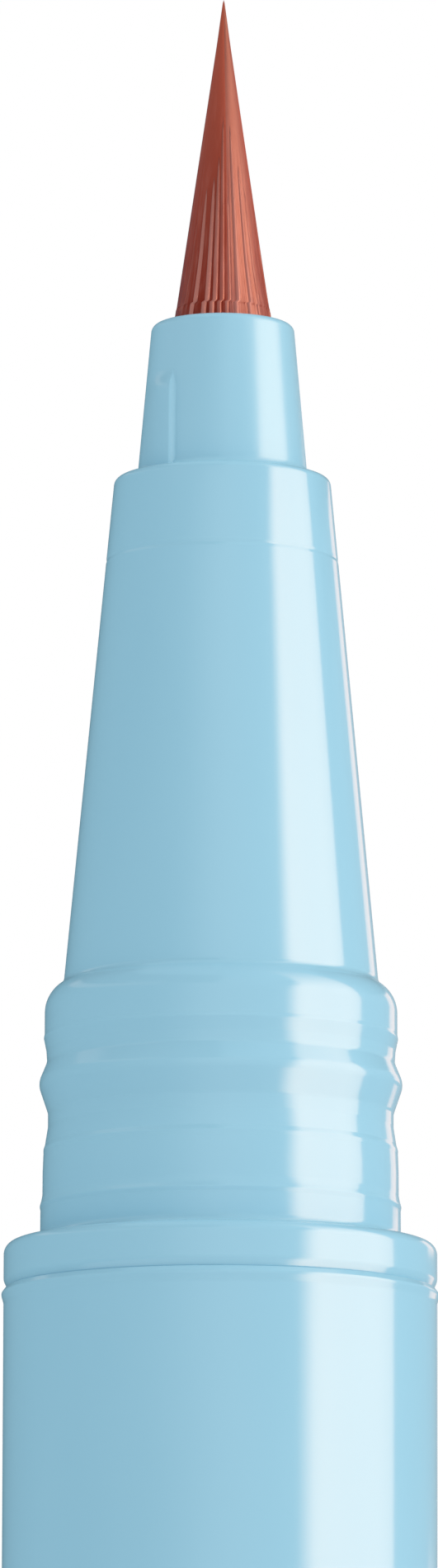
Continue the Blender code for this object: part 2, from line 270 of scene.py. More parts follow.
# Seal ring
seal_groove_floor = spigot_radius - seal_groove_depth
seal_cord_radius = (barrel_bore - seal_groove_floor) / 2 - seal_gap
seal_groove_height = 2 * (seal_cord_radius + seal_gap)
seal_height = spigot_foot + spigot_length * seal_groove_share
seal_ring_radius = seal_groove_floor + seal_gap + seal_cord_radius

# Cap
cap_mouth_round = 0.2 * MM
cap_neck_height = 1.2 * MM
snap_ridge = 0.2 * MM
snap_ridge_height = 0.7 * MM
liner_wall = 0.7 * MM
liner_floor = 0.9 * MM
liner_flange = 0.9 * MM
liner_round = 0.12 * MM
spring_wire_radius = 0.22 * MM
spring_turns = 7
spring_points_per_turn = 36
spring_sides = 14
cap_rear_bore = cap_bore - plug_head_step
liner_bore = nozzle_foot_radius + fit_gap
liner_radius = liner_bore + liner_wall
liner_flange_radius = cap_rear_bore - slide_gap
cap_neck_bore = liner_radius + slide_gap
cap_neck_foot = liner_foot + liner_flange + rest_gap
cap_neck_top = cap_neck_foot + cap_neck_height
snap_share = (collar_shares[3][0] + collar_shares[4][0]) / 2
snap_height = cap_length - collar_height * snap_share
spring_radius = (cap_rear_bore - fit_gap - plug_wall) - slide_gap - spring_wire_radius

# Colours
blue_shades = ((0.335, 0.618, 0.752), (0.350, 0.634, 0.766))
milky_shades = ((0.80, 0.81, 0.78), (0.86, 0.87, 0.85))
strand_shades = ((0.235, 0.012, 0.002), (0.51, 0.174, 0.137))
# The tip's own colour, then a painted shade for the tip's lit right side
tip_and_painted_shade_colours = ((0.44, 0.066, 0.029), (0.20, 0.055, 0.040))
wick_shades = ((0.70, 0.66, 0.60), (0.84, 0.82, 0.78))
wick_inked_shades = ((0.26, 0.045, 0.025), (0.42, 0.11, 0.07))
rubber_shades = ((0.016, 0.016, 0.017), (0.032, 0.032, 0.034))
steel_shades = ((0.58, 0.57, 0.55), (0.66, 0.65, 0.63))

# Finish
noise_range = (0.3, 0.7)  # the part of a noise that is spread over a whole range
blue_roughness = (0.10, 0.13)
blue_ior = 1.52
blue_flow_size = 3.5 * MM
blue_flow_stretch = (1, 1, 0.35)
blue_grain_size = 0.16 * MM
blue_peel_size = 0.5 * MM
blue_peel_depth = 0.0006 * MM
nozzle_matte = (0.08, 0.135)  # how much rougher the nozzle is than the rest, at its foot and its top
milky_roughness = 0.38
milky_cloud_size = 1.5 * MM
milky_grain_size = 0.2 * MM
milky_grain_depth = 0.002 * MM
strand_roughness = (0.285, 0.5)
strand_roughness_shares = (0.15, 0.65)
strand_ior = 1.6
strand_gloss_tint = (1.0, 0.68, 0.56)
strand_range = (0.45, 1.45)
strand_streak_size = 0.12 * MM
strand_streak_stretch = (1, 1, 0.03)
strand_streak_contrast = 0.9
strand_fine_size = 0.03 * MM
strand_fine_stretch = (1, 1, 0.02)
strand_fine_depth = 0.0015 * MM
# The core's painted light at which the tip's painted shade is full
painted_shade_full_level = 0.6
wick_roughness = 0.85
wick_fibre_size = 0.05 * MM
wick_fibre_stretch = (1, 1, 0.04)
wick_fibre_depth = 0.02 * MM
wick_foot_ink = 0.1
rubber_roughness = (0.5, 0.65)
rubber_grain_size = 0.08 * MM
rubber_grain_depth = 0.004 * MM
steel_roughness = (0.14, 0.26)
steel_scuff_size = 0.12 * MM
steel_scuff_stretch = (1, 0.2, 1)
steel_scuff_depth = 0.0008 * MM

# Facets
segments = 224
arc_turn = math.radians(7)
side_share = 0.45
sharp_angle = math.radians(38)
on_axis = 1e-6 * MM

# Studio
studio_height = 95 * MM
card_distance = 0.13
card_columns = 48
card_rows = 24
card_last_part = 0.8  # where the last fall of its light starts
card_top_distance = card_distance * 1.6
card_left_distance = card_distance * 1.5
card_right_distance = card_distance * 1.4
flag_distance = card_distance * 1.2
rim_distance = card_distance * 1.16
line_distance = card_distance * 1.1
rim_azimuths = (143, 158)
rim_colour = (1.85, 1.15, 0.88)
softbox_left_edge = ((-46, 35.5), (-29, 36.4), (7, 39.2), (20, 42.5), (27.5, 44.6), (31, 50), (75, 60))
lamp_strength = 1.52
lamp_colour = (1.0, 0.9, 0.85)
lamp_spread = math.radians(60)
lamp_azimuth = math.radians(70)
lamp_elevation = math.radians(12)
fill_colour = (0.94, 1.0, 1.05)
fill_strength = 0.8
white = (1, 1, 1)
floor_radius = 40
floor_sides = 96
floor_colour = (0.90, 0.905, 0.91)
floor_roughness = 0.9

# Camera
camera_place = (0.042 * MM, -250 * MM, 62.5 * MM)
camera_tilt = 9.27  # degrees above level
camera_roll = -0.15  # degrees
camera_lens = 238.4
camera_sensor = 36
camera_near = 10 * MM


def between(low, high, share):
    return low + (high - low) * share


def smooth_step(low, high, value):
    share = min(1, max(0, (value - low) / (high - low)))
    return share * share * (3 - 2 * share)


def arc_points(centre, radius, start, end):
    count = max(1, math.ceil(abs(end - start) / arc_turn))
    angles = [start + (end - start) * index / count for index in range(count + 1)]
    return [centre + radius * Vector((math.cos(angle), math.sin(angle))) for angle in angles]


def rounded_corner(before, corner, after, rounding):
    """The arc that rounds a corner, limited by the shorter of its two sides."""
    back = before - corner
    ahead = after - corner
    half_angle = back.angle(ahead) / 2
    reach = min(rounding / math.tan(half_angle), side_share * min(back.length, ahead.length))
    radius = reach * math.tan(half_angle)
    inward = (back.normalized() + ahead.normalized()).normalized()
    centre = corner + inward * radius / math.sin(half_angle)
    first = corner + back.normalized() * reach - centre
    last = corner + ahead.normalized() * reach - centre
    start = math.atan2(first.y, first.x)
    turn = math.atan2(first.cross(last), first.dot(last))
    return arc_points(centre, radius, start, start + turn)


def rounded_outline(corners, closed):
    """An outline's points, from its corners as (radius, height) or (radius, height, rounding)."""
    count = len(corners)
    points = []
    for index, corner in enumerate(corners):
        place = Vector(corner[:2])
        if len(corner) == 3 and (closed or 0 < index < count - 1):
            before = Vector(corners[index - 1][:2])
            after = Vector(corners[(index + 1) % count][:2])
            points += rounded_corner(before, place, after, corner[2])
        else:
            points.append(place)
    return points


def new_object(name, data):
    made = bpy.data.objects.new(name, data)
    bpy.context.scene.collection.objects.link(made)
    return made


def new_piece(name, vertices, faces, material, body, replaced, sharp=sharp_angle):
    mesh = bpy.data.meshes.new(name)
    mesh.from_pydata(vertices, [], faces)
    mesh.validate()
    mesh.shade_smooth()
    mesh.set_sharp_from_angle(angle=sharp)
    piece = new_object(name, mesh)
    mesh.materials.append(material)
    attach(piece, body)
    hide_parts(replaced)
    return piece


def turned_faces(points, closed, axis_x=0):
    """Rings of vertices round the axis, and the faces between them. A point on the axis is one vertex."""
    vertices = []
    rings = []
    for point in points:
        first = len(vertices)
        if point.x < on_axis:
            vertices.append((axis_x, 0, point.y))
            rings.append([first] * segments)
            continue
        for index in range(segments):
            angle = math.tau * index / segments
            vertices.append((axis_x + point.x * math.cos(angle), point.x * math.sin(angle), point.y))
        rings.append(list(range(first, first + segments)))
    faces = []
    pairs = list(zip(rings, rings[1:]))
    if closed:
        pairs.append((rings[-1], rings[0]))
    for above, below in pairs:
        for index in range(segments):
            after = (index + 1) % segments
            corners = [above[index], below[index], below[after], above[after]]
            faces.append(list(dict.fromkeys(corners)))
    return vertices, faces


def turned(name, corners, material, body, replaced, closed=True, axis_x=0):
    """A turned piece. Its outline runs down the outer side, and back up the bore if it is closed."""
    points = rounded_outline(corners, closed)
    vertices, faces = turned_faces(points, closed, axis_x)
    new_piece(name, vertices, faces, material, body, replaced)


def add_bands(faces, first, rings, sides):
    """The faces between rings of vertices that follow each other upwards."""
    for ring in range(rings - 1):
        below = first + ring * sides
        above = below + sides
        for corner in range(sides):
            after = (corner + 1) % sides
            faces.append((below + corner, below + after, above + after, above + corner))


def new_material(name):
    material = bpy.data.materials.new(name)
    material.use_nodes = True
    tree = material.node_tree
    shader = tree.nodes["Principled BSDF"]
    return material, tree, shader


def object_place(tree):
    return tree.nodes.new("ShaderNodeTexCoord").outputs["Object"]


def height_in(tree, place):
    split = tree.nodes.new("ShaderNodeSeparateXYZ")
    tree.links.new(place, split.inputs["Vector"])
    return split.outputs["Z"]


def maths(tree, operation, first, second):
    made = tree.nodes.new("ShaderNodeMath")
    made.operation = operation
    tree.links.new(first, made.inputs[0])
    tree.links.new(second, made.inputs[1])
    return made.outputs["Value"]


def noise(tree, coordinates, size, detail, stretch=(1, 1, 1)):
    """Noise whose grains are about as large as size, longer along an axis with a small stretch."""
    mapping = tree.nodes.new("ShaderNodeMapping")
    mapping.inputs["Scale"].default_value = stretch
    tree.links.new(coordinates, mapping.inputs["Vector"])
    texture = tree.nodes.new("ShaderNodeTexNoise")
    texture.inputs["Scale"].default_value = 1 / size
    texture.inputs["Detail"].default_value = detail
    tree.links.new(mapping.outputs["Vector"], texture.inputs["Vector"])
    return texture.outputs["Fac"]


def ramp(tree, value, low, high, first, last, interpolation="LINEAR"):
    """Maps a value from low..high to the range first..last."""
    mapped = tree.nodes.new("ShaderNodeMapRange")
    mapped.interpolation_type = interpolation
    mapped.inputs["From Min"].default_value = low
    mapped.inputs["From Max"].default_value = high
    mapped.inputs["To Min"].default_value = first
    mapped.inputs["To Max"].default_value = last
    tree.links.new(value, mapped.inputs["Value"])
    return mapped.outputs["Result"]


def mix_colours(tree, factor, first, last):
    """A blend of two colours, each of them fixed or from another node."""
    mix = tree.nodes.new("ShaderNodeMix")
    mix.data_type = "RGBA"
    tree.links.new(factor, mix.inputs["Factor"])
    for socket, value in ((mix.inputs[6], first), (mix.inputs[7], last)):
        if isinstance(value, tuple):
            socket.default_value = (*value, 1)
        else:
            tree.links.new(value, socket)
    return mix.outputs[2]


def bump(tree, shader, height, distance):
    made = tree.nodes.new("ShaderNodeBump")
    made.inputs["Distance"].default_value = distance
    tree.links.new(height, made.inputs["Height"])
    tree.links.new(made.outputs["Normal"], shader.inputs["Normal"])


def blue_plastic():
    """Glossy moulded plastic in light blue, with faint flow marks and a trace of orange peel.

    Above the shoulder, the nozzle's finish gets more matte towards its top.
    """
    material, tree, shader = new_material("blue_plastic_glossy")
    place = object_place(tree)
    flow = noise(tree, place, blue_flow_size, 2, blue_flow_stretch)
    clouds = ramp(tree, flow, *noise_range, 0, 1)
    tree.links.new(mix_colours(tree, clouds, *blue_shades), shader.inputs["Base Color"])
    grain = noise(tree, place, blue_grain_size, 3)
    gloss = ramp(tree, grain, *noise_range, *blue_roughness)
    height = height_in(tree, place)
    foot_matte, top_matte = nozzle_matte
    step = ramp(tree, height, shoulder, shoulder + shoulder_round, 0, foot_matte)
    rise = ramp(tree, height, shoulder, nozzle_top, 0, top_matte - foot_matte)
    rough = maths(tree, "ADD", maths(tree, "ADD", gloss, step), rise)
    tree.links.new(rough, shader.inputs["Roughness"])
    shader.inputs["IOR"].default_value = blue_ior
    bump(tree, shader, noise(tree, place, blue_peel_size, 2), blue_peel_depth)
    return material


def natural_plastic():
    """Milky unpigmented plastic of the inner pieces."""
    material, tree, shader = new_material("natural_plastic_milky")
    place = object_place(tree)
    clouds = noise(tree, place, milky_cloud_size, 3)
    tree.links.new(mix_colours(tree, clouds, *milky_shades), shader.inputs["Base Color"])
    shader.inputs["Roughness"].default_value = milky_roughness
    bump(tree, shader, noise(tree, place, milky_grain_size, 2), milky_grain_depth)
    return material


def brush_fibre():
    """Ink-stained fibres: each strand has its own shade, and streaks run along it. The core's shade also
    holds painted light, lighter low on its lit right-front side, with a painted shade on the tip there.
    """
    material, tree, shader = new_material("brush_fibre_stained_and_painted_light")
    place = object_place(tree)
    strand = tree.nodes.new("ShaderNodeAttribute")
    strand.attribute_name = "strand_shade_and_painted_light"
    shade = strand.outputs["Fac"]
    streaked = tree.nodes.new("ShaderNodeMath")
    streaked.operation = "MULTIPLY_ADD"
    streaks = noise(tree, place, strand_streak_size, 2, strand_streak_stretch)
    tree.links.new(streaks, streaked.inputs[0])
    streaked.inputs[1].default_value = strand_streak_contrast
    tree.links.new(shade, streaked.inputs[2])
    factor = ramp(tree, streaked.outputs["Value"], *strand_range, 0, 1)
    colour = mix_colours(tree, factor, *strand_shades)
    upper = ramp(tree, height_in(tree, place), nozzle_top, brush_tip, 0, 1)
    # Painted shade: the tip darkens on its lit right side, where the core is painted light
    painted_tip_shade = ramp(tree, shade, 0, painted_shade_full_level, 0, 1)
    tip_colour_and_painted_shade = mix_colours(tree, painted_tip_shade, *tip_and_painted_shade_colours)
    tree.links.new(mix_colours(tree, upper, colour, tip_colour_and_painted_shade), shader.inputs["Base Color"])
    rough = ramp(tree, upper, *strand_roughness_shares, *strand_roughness)
    tree.links.new(rough, shader.inputs["Roughness"])
    shader.inputs["IOR"].default_value = strand_ior
    shader.inputs["Specular Tint"].default_value = (*strand_gloss_tint, 1)
    fine = noise(tree, place, strand_fine_size, 1, strand_fine_stretch)
    bump(tree, shader, fine, strand_fine_depth)
    return material


def wick_fibre():
    """Bonded fibre rod, off-white with fine lengthwise fibres, stained by the ink towards the brush."""
    material, tree, shader = new_material("wick_fibre_bonded")
    place = object_place(tree)
    fibres = noise(tree, place, wick_fibre_size, 3, wick_fibre_stretch)
    clean = mix_colours(tree, fibres, *wick_shades)
    inked = mix_colours(tree, fibres, *wick_inked_shades)
    ink = ramp(tree, height_in(tree, place), wick_low.z, wick_high.z, wick_foot_ink, 1)
    tree.links.new(mix_colours(tree, ink, clean, inked), shader.inputs["Base Color"])
    shader.inputs["Roughness"].default_value = wick_roughness
    bump(tree, shader, fibres, wick_fibre_depth)
    return material


def rubber():
    """Black moulded rubber with a fine matte grain."""
    material, tree, shader = new_material("rubber_black")
    grain = noise(tree, object_place(tree), rubber_grain_size, 3)
    tree.links.new(mix_colours(tree, grain, *rubber_shades), shader.inputs["Base Color"])
    rough = ramp(tree, grain, *noise_range, *rubber_roughness)
    tree.links.new(rough, shader.inputs["Roughness"])
    bump(tree, shader, grain, rubber_grain_depth)
    return material


def steel():
    """Polished stainless steel with faint scuffs."""
    material, tree, shader = new_material("steel_polished")
    scuffs = noise(tree, object_place(tree), steel_scuff_size, 4, steel_scuff_stretch)
    tree.links.new(mix_colours(tree, scuffs, *steel_shades), shader.inputs["Base Color"])
    rough = ramp(tree, scuffs, *noise_range, *steel_roughness)
    tree.links.new(rough, shader.inputs["Roughness"])
    shader.inputs["Metallic"].default_value = 1
    bump(tree, shader, scuffs, steel_scuff_depth)
    return material


def barrel(material):
    """The tube, with a lip and a soft edge at its mouth, and a counterbore for its plug's head."""
    lip_radius = barrel_radius + mouth_lip
    lip_foot = barrel_length - mouth_lip_height
    counterbore = barrel_bore + plug_head_step
    counterbore_top = plug_head_height + fit_gap
    corners = (
        (barrel_bore, barrel_length),
        (lip_radius - seam_depth, barrel_length),
        (lip_radius, barrel_length - mouth_slope, mouth_round),
        (lip_radius, (barrel_length + lip_foot) / 2, relief_round),
        (barrel_radius, lip_foot, relief_round),
        (barrel_radius, 0, tail_round),
        (counterbore, 0),
        (counterbore, counterbore_top),
        (barrel_bore, counterbore_top),
    )
    turned("barrel_tube", corners, material, "pen", "barrel")


def cone_radius(height):
    share = (height - cone_foot) / cone_height
    return between(cone_foot_radius, cone_top_radius, share)


def outline_radius(corners, height):
    """The radius at a height, on an outline whose corners go down."""
    for above, below in zip(corners, corners[1:]):
        if above[1] >= height >= below[1]:
            share = (above[1] - height) / (above[1] - below[1])
            return between(above[0], below[0], share)
    return corners[-1][0]


def with_line(corners, height, proud, half_width):
    """An outline with a fine ridge round it, or a groove where proud is negative."""
    top = height + half_width
    foot = height - half_width
    line = [
        (outline_radius(corners, top), top, half_width),
        (outline_radius(corners, height) + proud, height, half_width),
        (outline_radius(corners, foot), foot, half_width),
    ]
    above = [corner for corner in corners if corner[1] > top]
    below = [corner for corner in corners if corner[1] < foot]
    return above + line + below


def collar_corners():
    """The collar's outer side, from the fillet at the cone's foot down to the cap's seat."""
    top_turn = math.acos(1 - cone_step / collar_round)
    land_top = cone_foot - collar_round * math.sin(top_turn)
    centre = Vector((land_radius - collar_round, land_top))
    down = Vector((cone_foot_radius - cone_top_radius, -cone_height)).normalized()
    out = Vector((-down.y, down.x))
    start = Vector((cone_top_radius, shoulder)) + out * cone_foot_fillet
    reach = collar_round + cone_foot_fillet
    along = (centre - start).dot(down)
    aside = ((centre - start) - down * along).length
    fillet = start + down * (along - math.sqrt(reach**2 - aside**2))
    first = math.atan2(-out.y, -out.x) + math.tau
    last = math.atan2(centre.y - fillet.y, centre.x - fillet.x) + math.tau
    points = arc_points(fillet, cone_foot_fillet, first, last)
    away = fillet - centre
    points += arc_points(centre, collar_round, math.atan2(away.y, away.x), 0)[1:]
    corners = [tuple(point) for point in points]
    corners.append((land_radius, cap_seat + collar_height * land_foot_share, relief_round))
    for height_share, relief_share in collar_shares:
        radius = bead_radius - collar_relief * relief_share
        rounding = bead_round if relief_share < 0 else relief_round
        corners.append((radius, cap_seat + collar_height * height_share, rounding))
    foot_radius = bead_radius - collar_relief * foot_relief_share
    fillet = Vector((foot_radius + collar_foot_fillet, cap_seat + collar_foot_fillet))
    corners += [tuple(point) for point in arc_points(fillet, collar_foot_fillet, math.pi, math.pi * 1.5)]
    for height_share, proud, half_width in collar_lines:
        corners = with_line(corners, cap_seat + collar_height * height_share, proud, half_width)
    return corners


def add_rib(vertices, faces):
    """A fine rib up the nozzle's side that runs out to a point at its top."""
    section = []
    for index in range(-rib_side_points, rib_side_points + 1):
        share = index / rib_side_points
        width = rib_left_width if index < 0 else rib_right_width
        section.append((width * share, rib_height * (1 + math.cos(math.pi * share)) / 2))
    section.append((rib_right_width, -rib_sink))
    section.append((-rib_left_width, -rib_sink))
    first = len(vertices)
    for row in range(rib_rows + 1):
        height = shoulder - rib_sink + (rib_length + rib_sink) * row / rib_rows
        fullness = max(rib_least, smooth_step(0, rib_run_out, shoulder + rib_length - height))
        radius = nozzle_foot_radius - nozzle_taper * (height - shoulder) / nozzle_height
        angle = rib_foot_angle + (rib_top_angle - rib_foot_angle) * row / rib_rows
        out = Vector((math.sin(angle), -math.cos(angle)))
        side = Vector((math.cos(angle), math.sin(angle)))
        for across, proud in section:
            reach = across * (math.sqrt(fullness) if across > 0 else 1)
            level = math.sqrt(radius**2 - reach**2) + proud * fullness
            place = out * level + side * reach
            vertices.append((place.x, place.y, height))
    sides = len(section)
    add_bands(faces, first, rib_rows + 1, sides)
    faces.append([first + corner for corner in reversed(range(sides))])
    faces.append([first + rib_rows * sides + corner for corner in range(sides)])


def front_moulding(material):
    """Nozzle, cone, snap collar, flange, and the spigot with its seal groove."""
    groove_top = seal_height + seal_groove_height / 2
    groove_foot = seal_height - seal_groove_height / 2
    cavity_foot_radius = min(cone_foot_radius - shell_wall, spigot_bore)
    cone = [(cone_top_radius, shoulder, shoulder_round), *collar_corners()]
    corners = (
        (nozzle_bore, nozzle_top),
        (nozzle_top_radius, nozzle_top, nozzle_round),
        (nozzle_foot_radius, shoulder, nozzle_foot_round),
        *with_line(cone, *ring_line),
        (barrel_radius, cap_seat, flange_round),
        (barrel_radius, seam_top + flange_foot_slope, flange_foot_round),
        (barrel_radius - seam_depth, seam_top),
        (spigot_radius, seam_top),
        (spigot_radius, groove_top),
        (seal_groove_floor, groove_top),
        (seal_groove_floor, groove_foot),
        (spigot_radius, groove_foot),
        (spigot_radius, spigot_foot, spigot_round),
        (spigot_bore, spigot_foot),
        (spigot_bore, cone_foot - collar_round),
        (cavity_foot_radius, cone_foot),
        (cone_radius(cavity_top) - shell_wall, cavity_top),
        (nozzle_bore, cavity_top),
    )
    vertices, faces = turned_faces(rounded_outline(corners, True), True)
    add_rib(vertices, faces)
    new_piece("front_moulding", vertices, faces, material, "pen", "front_shell")


def cap_tube(material):
    """The cap's shell: a counterbore for its plug, a neck that guides the inner cup, and a snap ridge."""
    counterbore_top = plug_head_height + fit_gap
    corners = (
        (cap_bore, cap_length),
        (barrel_radius, cap_length, cap_mouth_round),
        (barrel_radius, 0, tail_round),
        (cap_bore, 0),
        (cap_bore, counterbore_top),
        (cap_rear_bore, counterbore_top),
        (cap_rear_bore, cap_neck_foot),
        (cap_neck_bore, cap_neck_foot),
        (cap_neck_bore, cap_neck_top),
        (cap_bore, cap_neck_top),
        (cap_bore, snap_height - snap_ridge_height),
        (cap_bore - snap_ridge, snap_height, relief_round),
        (cap_bore, snap_height + snap_ridge_height),
    )
    turned("cap_tube", corners, material, "cap", "cap_shell", axis_x=cap_axis)


def end_plug(name, bore, material, body, replaced, axis_x=0):
    """A plug with a wider head, and a well from its inner end."""
    head = bore + plug_head_step - fit_gap
    body_radius = bore - fit_gap
    well = body_radius - plug_wall
    corners = (
        (0, plug_floor),
        (well, plug_floor),
        (well, plug_length),
        (body_radius, plug_length),
        (body_radius, plug_head_height),
        (head, plug_head_height),
        (head, 0, plug_round),
        (0, 0),
    )
    turned(name, corners, material, body, replaced, closed=False, axis_x=axis_x)


def inner_cup(material):
    """The sprung cup that seals round the nozzle, with the flange that its spring pushes."""
    corners = (
        (0, liner_foot + liner_floor),
        (liner_bore, liner_foot + liner_floor),
        (liner_bore, liner_mouth, liner_round),
        (liner_radius, liner_mouth, liner_round),
        (liner_radius, liner_foot + liner_flange),
        (liner_flange_radius, liner_foot + liner_flange),
        (liner_flange_radius, liner_foot),
        (0, liner_foot),
    )
    turned(
        "inner_cup",
        corners,
        material,
        "cap_liner",
        "inner_cap",
        closed=False,
        axis_x=cap_axis,
    )


def wave(angle, size, count, phase):
    return size * math.sin(count * angle + phase)


def brush_envelope(angle, height):
    """The bundle's radius: a cone pinched to soft edges, with grooves between its merged fibres."""
    share = (height - brush_root_top) / (brush_tip - brush_root_top)
    cone = brush_root_radius * (1 - share)
    turn = angle - pinch_angle
    pinched = (abs(math.cos(turn)) ** pinch_power + abs(math.sin(turn)) ** pinch_power) ** (-1 / pinch_power)
    pinch = smooth_step(*pinch_start, share) * (1 - smooth_step(*pinch_end, share))
    radius = cone * (1 + (pinched - 1) * pinch)
    blunt = min(1, (brush_tip - height) / tip_round) ** 0.5
    radius += tip_round * smooth_step(tip_start, 1, share) * blunt
    uneven = angle
    for size, count, phase in groove_waves:
        uneven += wave(angle, size, count, phase)
    size, count, rise = groove_drift
    drift = wave(angle, size, count, rise * share)
    groove = 1 - abs(math.sin(groove_count / 2 * (uneven + drift))) ** groove_sharpness
    end = groove_end + wave(angle, *groove_end_wave)
    radius -= groove_depth * (1 - share) * groove * (1 - smooth_step(end / 2, end, share))
    return max(0, radius) + band_step * smooth_step(band_top, band_foot, height)


def add_fibre(bundle, azimuth, thick, sides, proud, end, shade):
    """One fibre in the bundle's surface, which tapers to a point at a share of the brush's height."""
    vertices, faces, shades = bundle
    foot = brush_root_top - fibre_sink
    top = brush_root_top + (brush_tip - brush_root_top) * end
    heights = [foot + (top - foot) * step / fibre_steps for step in range(fibre_steps)]
    heights = sorted([*heights, band_foot, band_top])
    first = len(vertices)
    for height in heights:
        angle = azimuth - math.pi / 2 - band_turn * smooth_step(band_top, band_foot, height)
        out = Vector((math.cos(angle), math.sin(angle)))
        side = Vector((-out.y, out.x))
        taper = math.sqrt(1 - ((height - foot) / (top - foot)) ** fibre_taper)
        radius = thick * taper
        distance = brush_envelope(angle, height) - radius + proud * taper
        for corner in range(sides):
            turn = math.tau * corner / sides
            place = out * (distance + radius * math.cos(turn)) + side * radius * math.sin(turn)
            vertices.append((place.x, place.y, height))
            shades.append(shade)
    tip = len(vertices)
    distance = brush_envelope(azimuth - math.pi / 2, top)
    vertices.append((math.sin(azimuth) * distance, -math.cos(azimuth) * distance, top))
    shades.append(shade)
    add_bands(faces, first, len(heights), sides)
    last = tip - sides
    for corner in range(sides):
        faces.append((last + corner, last + (corner + 1) % sides, tip))
    faces.append([first + corner for corner in reversed(range(sides))])


def painted_light_by_side(angle):
    """Painted light: the shade of the bundle's core round it, lighter on its lit right-front side; the
    material also darkens the tip there as painted shade.
    """
    turn = (angle + math.pi / 2 - pinch_angle) % math.tau
    return painted_light_level * smooth_step(*painted_light_rise, turn) * (1 - smooth_step(*painted_light_fall, turn))


def add_core(bundle):
    """The merged bundle, and its round bound root down to the wick."""
    vertices, faces, shades = bundle
    angles = [math.tau * column / core_columns for column in range(core_columns)]
    height = brush_tip - brush_root_top
    rings = []
    for row in range(1, core_rows + 1):
        level = brush_root_top + height * (1 - row / core_rows)
        rings.append([(brush_envelope(angle, level), level) for angle in angles])
    for level in (brush_root_top - fibre_sink, brush_root_foot):
        rings.append([(brush_root_radius, level)] * core_columns)
    tip = len(vertices)
    vertices.append((0, 0, brush_tip))
    # Each vertex's shade is painted light, lighter on the lit right-front side
    shades.append(painted_light_by_side(-angles[1]))
    for ring in rings:
        for angle, (radius, level) in zip(angles, ring):
            vertices.append((radius * math.cos(angle), radius * math.sin(angle), level))
            shades.append(painted_light_by_side(angle))
    foot = len(vertices)
    vertices.append((0, 0, brush_root_foot))
    shades.append(painted_light_by_side(0))
    for column in range(core_columns):
        after = (column + 1) % core_columns
        faces.append((tip, tip + 1 + column, tip + 1 + after))
        for row in range(len(rings) - 1):
            above = tip + 1 + row * core_columns
            below = above + core_columns
            faces.append((above + column, below + column, below + after, above + after))
        last = foot - core_columns
        faces.append((last + column, foot, last + after))


def brush_fibres(material):
    """The bundle of fibres: a merged core, with the fibres of its surface on it."""
    bundle = ([], [], [])
    add_core(bundle)
    thick = list(thick_fibres)
    for index in range(rear_fibre_count):
        spread = (index * golden_share) % 1
        azimuth = between(*rear_fibre_azimuths, (index + rear_fibre_unevenness * spread) / rear_fibre_count)
        end = between(*rear_fibre_ends, spread)
        proud = between(*rear_fibre_prouds, spread)
        shade = between(*rear_fibre_shades, spread)
        thick.append((azimuth, end, proud, shade))
    for azimuth, end, proud, shade in thick:
        place = math.radians(azimuth)
        proud *= thick_fibre_proud
        add_fibre(bundle, place, thick_fibre_radius, thick_fibre_sides, proud, end, shade)
    for index in range(fine_fibre_count):
        spread = (index * golden_share) % 1
        other = (index * other_share + other_start) % 1
        place = math.tau * (index + fine_fibre_unevenness * (other - 0.5)) / fine_fibre_count
        radius = fine_fibre_radius * between(*fine_fibre_sizes, other)
        end = between(*fine_fibre_ends, spread)
        shade = fine_fibre_shade * other
        add_fibre(bundle, place, radius, fine_fibre_sides, fine_fibre_proud, end, shade)
    vertices, faces, shades = bundle
    piece = new_piece(
        "brush_fibres", vertices, faces, material, "pen", "brush", brush_sharp_angle
    )
    attribute = piece.data.attributes.new("strand_shade_and_painted_light", "FLOAT", "POINT")
    attribute.data.foreach_set("value", shades)


def wick_rod(material):
    """The fibre rod from the ink tank to the brush."""
    radius = wick_high.x
    corners = (
        (0, wick_high.z),
        (radius, wick_high.z, wick_round),
        (radius, wick_low.z, wick_round),
        (0, wick_low.z),
    )
    turned("wick_rod", corners, material, "pen", "wick", closed=False)


def holder_ring(material):
    """The ring round the brush's root, which follows the cone's inner side."""
    bore = brush_root_radius + fit_gap
    top_radius = cone_radius(holder_high.z) - shell_wall - fit_gap
    foot_radius = cone_radius(holder_low.z) - shell_wall - fit_gap
    corners = (
        (bore, holder_high.z, holder_round),
        (top_radius, holder_high.z, holder_round),
        (foot_radius, holder_low.z, holder_round),
        (bore, holder_low.z, holder_round),
    )
    turned("holder_ring", corners, material, "pen", "brush_holder")


def seal_washer(material):
    """The rubber ring in the spigot's groove."""
    centre = Vector((seal_ring_radius, seal_height))
    corners = arc_points(centre, seal_cord_radius, math.pi / 2, -math.pi * 1.5)
    points = [tuple(corner) for corner in corners[:-1]]
    turned("seal_washer", points, material, "pen", "seal_ring")


def steel_ball(material):
    """The loose ball in the ink tank."""
    centre = Vector((0, (ball_low.z + ball_high.z) / 2))
    radius = (ball_high.z - ball_low.z) / 2
    points = [tuple(corner) for corner in arc_points(centre, radius, math.pi / 2, -math.pi / 2)]
    turned("steel_ball", points, material, "ball", "mixing_ball", closed=False)


